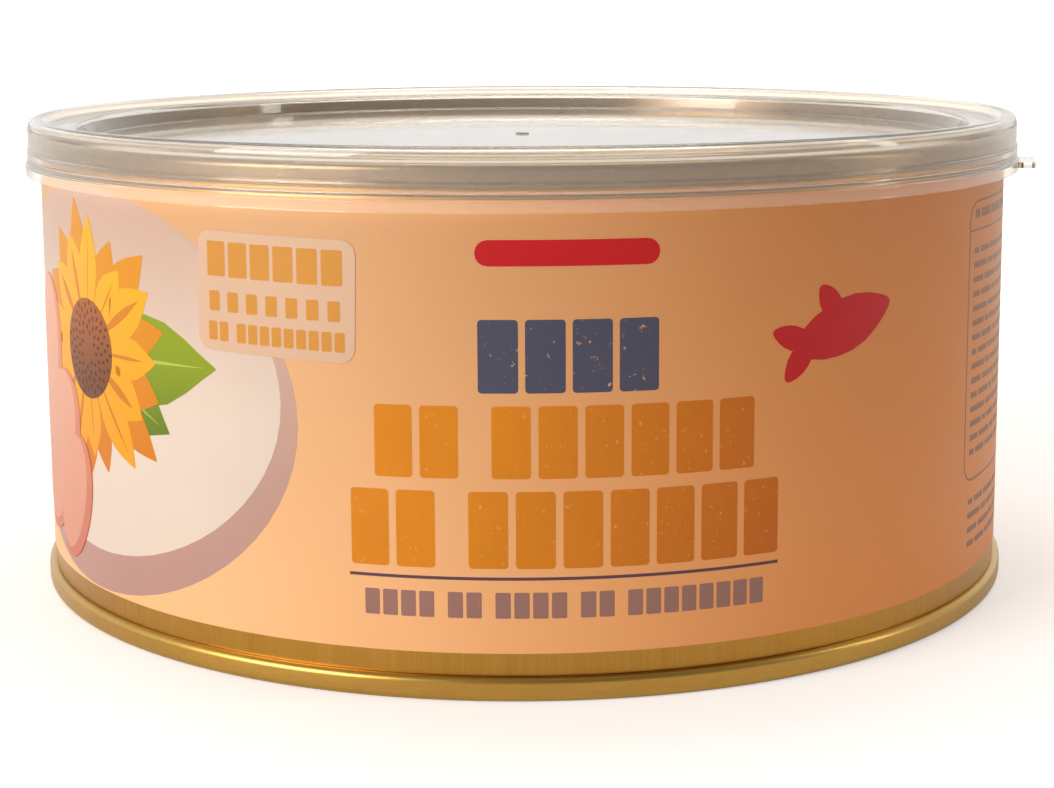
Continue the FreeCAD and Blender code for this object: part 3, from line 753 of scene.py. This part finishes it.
def block(bm, x, y, wide, high, corner, turn=0.0):
    """A flat rectangle with rounded corners, centred on x, y."""
    made = bmesh.ops.create_grid(bm, x_segments=1, y_segments=1, size=0.5)["verts"]
    bmesh.ops.scale(bm, verts=made, vec=(wide, high, 1))
    if corner:
        before = set(bm.verts) - set(made)
        bmesh.ops.bevel(bm, geom=made, offset=corner, offset_type="OFFSET", affect="VERTICES", segments=4,
                        profile=0.5, material=-1)
        made = [v for v in bm.verts if v not in before]
    bmesh.ops.rotate(bm, verts=made, cent=(0, 0, 0), matrix=Matrix.Rotation(turn, 3, "Z"))
    bmesh.ops.translate(bm, verts=made, vec=(x, y, 0))
    return made


def disc(bm, x, y, wide, high, turn=0.0, segments=64):
    """A flat ellipse."""
    made = bmesh.ops.create_circle(bm, cap_ends=True, segments=segments, radius=1.0)["verts"]
    bmesh.ops.scale(bm, verts=made, vec=(wide, high, 1))
    bmesh.ops.rotate(bm, verts=made, cent=(0, 0, 0), matrix=Matrix.Rotation(turn, 3, "Z"))
    bmesh.ops.translate(bm, verts=made, vec=(x, y, 0))
    return made


def print_on(name, bm, level, finish_of):
    """Wraps a flat drawing on the label and shows it in one ink."""
    wrap(bm, level)
    return shown(name, bm, [finish_of], "label_print")


# %% [markdown]
# The dish is a pale oval with a lilac rim, printed behind everything else. It runs a little under the
# label's top edge.

# %% Dish
DISH = (-72.0, 36.0)
UP = (0, 0, 1)
rim_ink = shaded_ink("ink_dish_rim", linear(190, 147, 137), linear(209, 174, 155), (UP, 0.006, 0.066))
dish_ink = shaded_ink("ink_dish", linear(230, 213, 198), linear(208, 172, 153), (UP, 0.03, 0.068))
flat = bmesh.new()
disc(flat, DISH[0], DISH[1], 41.5, 29.4)
clipped(flat, LOW + TRIM, HIGH - TRIM)
print_on("print_dish_rim", flat, 1, rim_ink)
flat = bmesh.new()
disc(flat, DISH[0] + 0.2, DISH[1] + 2.6, 38.8, 26.2)
clipped(flat, LOW + TRIM, HIGH - TRIM)
print_on("print_dish", flat, 2, dish_ink)

# %% [markdown]
# On the dish lie a flower, two leaves and three slices of fish. A petal is a circle pulled out to a point,
# and it is turned round the flower's middle again and again.


# %% Flower and leaves
def petal(bm, centre, length, width, start, turn, pinch=0.75):
    """A pointed oval that starts at a distance from the centre and looks outwards."""
    made = bmesh.ops.create_circle(bm, cap_ends=True, segments=20, radius=1.0)["verts"]
    for vert in made:
        vert.co.y *= width / 2 * (1 - pinch * max(0.0, vert.co.x) ** 2)
        vert.co.x = start + (vert.co.x + 1) * length / 2
    bmesh.ops.rotate(bm, verts=made, cent=(0, 0, 0), matrix=Matrix.Rotation(turn, 3, "Z"))
    bmesh.ops.translate(bm, verts=made, vec=(centre[0], centre[1], 0))


FLOWER = (-73.0, 41.8)
back_petals = shaded_ink("ink_petal_back", linear(214, 122, 2), linear(226, 148, 6), (UP, 0.02, 0.06))
front_petals = shaded_ink("ink_petal_front", linear(240, 158, 8), linear(246, 180, 24), (UP, 0.02, 0.06))
vein_ink = shaded_ink("ink_petal_vein", linear(206, 116, 4), linear(218, 134, 6), (UP, 0.02, 0.06))
leaf_ink = shaded_ink("ink_leaf", linear(82, 112, 12), linear(142, 160, 12), (UP, 0.026, 0.046))
rib_ink = shaded_ink("ink_leaf_rib", linear(160, 178, 60), linear(186, 198, 84), (UP, 0.026, 0.046))
heart_ink = shaded_ink("ink_heart", linear(112, 54, 16), linear(168, 92, 26), (UP, 0.034, 0.05))
seed_ink = shaded_ink("ink_seed", linear(62, 30, 14), linear(96, 48, 16), (UP, 0.034, 0.05))
LEAVES = ((24.6, 13.0, 1), (17.5, 10.5, -25))


def petals(bm, count, length, width, start, turn):
    """A ring of petals. Each is a little longer or shorter, and leans a little, by where it stands."""
    for number in range(count):
        share = math.sin(number * 2.4)
        petal(bm, FLOWER, length + 2.2 * share, width + 0.8 * math.sin(number * 1.7), start,
              turn + number * 2 * math.pi / count + 0.07 * share)


flat = bmesh.new()
for length, width, degrees in LEAVES:
    petal(flat, FLOWER, length + 3.0, width, 2.0, math.radians(degrees), 0.85)
print_on("print_leaves", flat, 3, leaf_ink)
flat = bmesh.new()
for length, width, degrees in LEAVES:
    petal(flat, FLOWER, length, 0.5, 3.0, math.radians(degrees))
print_on("print_leaf_ribs", flat, 4, rib_ink)
flat = bmesh.new()
petals(flat, 13, 14.5, 6.6, 5.6, 0.23)
print_on("print_petals_back", flat, 5, back_petals)
flat = bmesh.new()
petals(flat, 13, 12.6, 6.2, 5.2, 0.0)
print_on("print_petals_front", flat, 6, front_petals)
flat = bmesh.new()
petals(flat, 13, 9.0, 0.55, 6.2, 0.0)
print_on("print_petal_veins", flat, 7, vein_ink)
flat = bmesh.new()
disc(flat, FLOWER[0], FLOWER[1], 7.3, 7.3)
print_on("print_heart", flat, 8, heart_ink)

# %% [markdown]
# Seeds fill a sunflower's heart in a spiral: each stands a golden angle on from the last, and further out
# by the square root of its number, so that they are evenly close.

# %% Seeds
GOLDEN_ANGLE = math.pi * (3 - math.sqrt(5))
SEEDS = 90
flat = bmesh.new()
for number in range(8, SEEDS):
    out, turn = 6.9 * math.sqrt(number / SEEDS), number * GOLDEN_ANGLE
    disc(flat, FLOWER[0] + out * math.cos(turn), FLOWER[1] + out * math.sin(turn), 0.42, 0.26, turn, 8)
print_on("print_seeds", flat, 9, seed_ink)

# %% [markdown]
# A slice is an oval with a paler cut face on it, and the slices lie over each other like tiles.

# %% Slices of fish
pale_slice = shaded_ink("ink_slice_pale", linear(222, 150, 124), linear(236, 174, 146), (UP, 0.01, 0.05))
rose_slice = shaded_ink("ink_slice_rose", linear(206, 118, 94), linear(222, 146, 120), (UP, 0.01, 0.05))
SLICES = ((-95.0, 36.0, 15.0, 9.4, 1.25), (-88.5, 24.0, 15.0, 9.0, 0.95), (-80.5, 18.5, 10.4, 6.4, 1.15))
for number, (x, y, wide, high, turn) in enumerate(SLICES):
    flat = bmesh.new()
    disc(flat, x, y, wide, high, turn)
    print_on("print_slice_%d" % (number + 1), flat, 10 + 2 * number, rose_slice)
    flat = bmesh.new()
    disc(flat, x - 1.0, y + 0.5, wide - 0.8, high - 0.9, turn)
    print_on("print_slice_face_%d" % (number + 1), flat, 11 + 2 * number, pale_slice)

# %% [markdown]
# ### Badge, title and small lines
#
# Where the real can carries words, this one carries plain rounded blocks in the same inks and sizes. A row
# is a list of words, and a word is a number of blocks.


# %% Rows of blocks
def row(bm, words, left, right, low, high, gap, corner=0.25, tilt=0.0):
    """Blocks from left to right. words holds how many blocks stand in each word."""
    total = sum(words) + 0.55 * (len(words) - 1)
    pitch = (right - left + gap) / total
    x = left
    for word in words:
        for _ in range(word):
            middle = x + (pitch - gap) / 2
            lift = tilt * (middle - (left + right) / 2)
            block(bm, middle, (low + high) / 2 + lift, pitch - gap, high - low, corner)
            x += pitch
        x += 0.55 * pitch
    return bm


BADGE = (-34.0, 52.9)
flat = bmesh.new()
block(flat, BADGE[0], BADGE[1], 24.2, 16.2, 2.0, math.radians(-1.2))
print_on("print_badge", flat, 7, inks["ink_cream"])
flat = bmesh.new()
row(flat, (6,), -44.4, -23.6, 54.9, 59.6, 0.55, tilt=-0.02)
row(flat, (7,), -44.2, -24.0, 50.2, 52.9, 1.3, tilt=-0.02)
row(flat, (2, 9), -44.4, -23.4, 46.2, 48.8, 0.4, tilt=-0.02)
print_on("print_badge_rows", flat, 8, inks["ink_ochre"])
flat = bmesh.new()
row(flat, (4,), -5.8, 17.8, 41.2, 50.8, 0.9, 0.5)
print_on("print_title", flat, 1, inks["ink_slate"])
flat = bmesh.new()
row(flat, (2, 6), -19.6, 31.4, 29.9, 39.5, 1.0, 0.5)
row(flat, (2, 7), -23.0, 35.2, 17.9, 28.2, 1.0, 0.5)
print_on("print_title_rows", flat, 1, inks["ink_orange_and_painted_shade"])
flat = bmesh.new()
block(flat, 6.0, 16.55, 58.6, 0.42, 0.0)
print_on("print_rule", flat, 1, inks["ink_plum"])
flat = bmesh.new()
row(flat, (4, 2, 4, 2, 8), -21.2, 33.0, 11.2, 14.7, 0.45, 0.2)
print_on("print_small_row", flat, 1, inks["ink_mauve"])

# %% [markdown]
# A plain red bar heads the title, and a small red fish swims beside it.

# %% Red marks
flat = bmesh.new()
block(flat, 5.9, 59.4, 24.0, 3.4, 1.65)
print_on("print_red_bar", flat, 1, inks["ink_red"])
flat = bmesh.new()
FISH = (46.0, 47.6)
FISH_TURN = math.radians(17)
petal(flat, (FISH[0] - 6.0, FISH[1] - 1.8), 17.5, 7.6, -2.0, FISH_TURN, 0.45)
for side in (0.62, -0.62):
    petal(flat, (FISH[0] - 6.0, FISH[1] - 1.8), 7.0, 3.4, -0.8, FISH_TURN + math.pi + side, 0.3)
petal(flat, FISH, 6.2, 3.6, 1.0, FISH_TURN + 1.9, 0.3)
print_on("print_red_fish", flat, 1, inks["ink_red"])

# %% [markdown]
# ### Small print
#
# To the right of the front and round the back, a real label carries its small print. Here that is rows of
# bars as long as words, inside thin rounded frames, and a table.


# %% Small print
def outline(bm, left, right, low, high, corner, line):
    """A thin rounded frame: a block whose middle is inset and taken out."""
    made = set(block(bm, (left + right) / 2, (low + high) / 2, right - left, high - low, corner))
    middle = [f for f in bm.faces if set(f.verts) <= made]
    bmesh.ops.inset_region(bm, faces=middle, thickness=line, use_boundary=True, use_even_offset=True)
    bmesh.ops.delete(bm, geom=middle, context="FACES")


def bars(bm, left, right, high, rows, line, pitch):
    """Rows of bars as long as words. A formula sets their lengths, and the last row is short."""
    for number in range(rows):
        x = left
        stop = right - (0.45 * (right - left) if number == rows - 1 else number * 7 % 5 * 0.8)
        word = 0
        while x < stop - 0.6:
            length = min(2.0 + (number * 5 + word * 3) % 7 * 0.8, stop - x)
            block(bm, x + length / 2, high - number * pitch, length, line, 0)
            x += length + 0.9
            word += 1


def table(bm, left, right, low, high, rows, split):
    """A ruled table: an outline, lines between the rows and one between its two columns."""
    outline(bm, left, right, low, high, 1.0, 0.3)
    pitch = (high - low) / rows
    for number in range(1, rows):
        block(bm, (left + right) / 2, low + number * pitch, right - left - 0.6, 0.2, 0)
    block(bm, split, (low + high) / 2, 0.2, high - low - 0.6, 0)
    for number in range(rows):
        y = low + (number + 0.5) * pitch
        name_end = left + 2.0 + (split - left - 4.0) * (0.5 + 0.1 * (number * 3 % 5))
        block(bm, (left + 2.0 + name_end) / 2, y, name_end - left - 2.0, 1.1, 0)
        block(bm, (split + right) / 2, y, 4.0 + number * 3 % 4, 1.1, 0)


SIDE = 76.7
BACK = math.pi * LABEL
flat = bmesh.new()
outline(flat, SIDE, SIDE + 54.0, 20.1, 62.0, 3.2, 0.32)
block(flat, SIDE + 27.0, 57.6, 53.2, 0.25, 0)
bars(flat, SIDE + 2.2, SIDE + 50.0, 60.0, 1, 1.3, 2.0)
bars(flat, SIDE + 2.2, SIDE + 51.5, 54.6, 15, 0.85, 2.15)
bars(flat, SIDE + 2.2, SIDE + 51.5, 17.0, 4, 0.85, 2.15)
table(flat, SIDE + 62.0, SIDE + 114.0, 17.0, 62.0, 11, SIDE + 94.0)
bars(flat, SIDE + 62.0, SIDE + 113.0, 13.6, 3, 0.85, 2.15)
outline(flat, BACK + 38.0, BACK + 84.0, 14.0, 62.0, 3.2, 0.32)
bars(flat, BACK + 41.0, BACK + 81.0, 58.4, 1, 1.6, 2.0)
bars(flat, BACK + 41.0, BACK + 81.0, 53.6, 17, 0.85, 2.15)
print_on("print_small_print", flat, 1, inks["ink_small"])

# %% [markdown]
# The front's title comes again on the back, smaller, in the same inks.

# %% Title on the back
flat = bmesh.new()
row(flat, (4,), BACK - 34.0, BACK - 6.0, 47.0, 54.5, 0.8, 0.45)
print_on("print_back_title", flat, 1, inks["ink_slate"])
flat = bmesh.new()
row(flat, (2, 6), BACK - 42.0, BACK + 2.0, 35.6, 43.0, 0.8, 0.45)
row(flat, (2, 7), BACK - 44.0, BACK + 4.0, 25.2, 32.6, 0.8, 0.45)
print_on("print_back_rows", flat, 1, inks["ink_orange_and_painted_shade"])
flat = bmesh.new()
block(flat, BACK - 20.0, 22.6, 48.0, 0.4, 0)
row(flat, (4, 2, 4, 2, 8), BACK - 43.0, BACK + 3.0, 18.2, 20.8, 0.4, 0.2)
print_on("print_back_small_row", flat, 1, inks["ink_mauve"])

# %% [markdown]
# Where the sleeve's two ends are glued, one lies on the other. A strip in the ground colour, raised above
# the rest of the sleeve, gives that step.

# %% Overlap of the sleeve
flat = bmesh.new()
block(flat, BACK + 16.0, (LOW + HIGH) / 2, 14.0, HIGH - LOW, 0)
print_on("label_overlap", flat, 9, tan_ground_and_painted_shade)

# %% [markdown]
# ### Overcap
#
# The cap is one thin shell with a rim that stands above the seam, a flat ring, and a middle sunk to just
# above the pull. Its skirt steps outwards twice and ends in a lip, with a small tongue to lift it by. The
# plastic came into the mould at the middle, where a small round mark is left.

# %% Overcap
CAP_LOW, CAP_HIGH = cap_low.z / MM, cap_high.z / MM
SKIRT = SEAM + 0.8
PANEL_TOP = CAP_HIGH - 4.0
PANEL_UNDER = PANEL_TOP - 0.6
RING_TOP = CAP_HIGH - 1.35
RING_UNDER = RING_TOP - 0.6
STEP_TOP, LIP_TOP = 68.4, 66.15
GATE = [(0, PANEL_TOP + 0.25, 0), (1.1, PANEL_TOP + 0.25, 0.08), (1.1, PANEL_TOP, 0)]
CAP_OUTSIDE = [
    (70.3, PANEL_TOP, 0.5), (71.2, RING_TOP, 0.5), (75.4, RING_TOP, 0.5), (76.7, CAP_HIGH, 0.5),
    (SKIRT - 0.5, CAP_HIGH, 0.5), (SKIRT, CAP_HIGH - 1.1, 0.5), (SKIRT, STEP_TOP + 0.2, 0.08),
    (SKIRT + 0.2, STEP_TOP, 0.08), (SKIRT + 0.2, LIP_TOP + 0.3, 0.12), (SKIRT + 0.5, LIP_TOP, 0.12),
    (SKIRT + 0.5, CAP_LOW, 0.2)]
SNAP_RIDGE = [(SKIRT - 0.4, 66.65, 0.05), (SKIRT - 1.1, 67.0, 0.1), (SKIRT - 0.4, 67.35, 0.05)]
CAP_INSIDE = [
    (SKIRT - 0.1, CAP_LOW, 0.15), (SKIRT - 0.1, LIP_TOP, 0.1), (SKIRT - 0.4, LIP_TOP + 0.3, 0.1),
    *SNAP_RIDGE,
    (SKIRT - 0.4, STEP_TOP - 0.2, 0.08), (SKIRT - 0.6, STEP_TOP, 0.08), (SKIRT - 0.6, CAP_HIGH - 1.25, 0.2),
    (SKIRT - 0.9, CAP_HIGH - 0.6, 0.2), (77.3, CAP_HIGH - 0.6, 0.25), (76.0, RING_UNDER, 0.3),
    (71.8, RING_UNDER, 0.3), (70.9, PANEL_UNDER, 0.3), (0, PANEL_UNDER, 0)]
TAB_INSIDE, TAB_OUTSIDE = SKIRT + 0.3, SKIRT + 2.9
TAB_WIDE, TAB_THICK, TAB_LOW = 11.0, 0.9, CAP_LOW + 0.35
TAB_TURN = Matrix.Rotation(math.radians(-12), 3, "Z")
cap_mesh = spun(bmesh.new(), GATE + CAP_OUTSIDE + CAP_INSIDE)
tab = bmesh.new()
block(tab, (TAB_INSIDE + TAB_OUTSIDE) / 2, 0, TAB_OUTSIDE - TAB_INSIDE, TAB_WIDE, 1.2)
raised = bmesh.ops.extrude_face_region(tab, geom=tab.faces[:])
bmesh.ops.translate(tab, vec=(0, 0, TAB_THICK), verts=corners_in(raised["geom"]))
bmesh.ops.translate(tab, verts=tab.verts, vec=(0, 0, TAB_LOW))
bmesh.ops.scale(tab, verts=tab.verts, vec=(MM, MM, MM))
bmesh.ops.rotate(tab, verts=tab.verts, cent=(0, 0, 0), matrix=TAB_TURN)
merge(tab, cap_mesh)
overcap = shown("overcap_moulded", cap_mesh, [clear_plastic], "clear_plastic", "overcap")
even_shading(overcap)

# %% [markdown]
# ## Last settings
#
# The picture is shown as the lamps light it: the Standard view, with no grading.

# %% Finish
bpy.context.scene.view_settings.view_transform = "Standard"
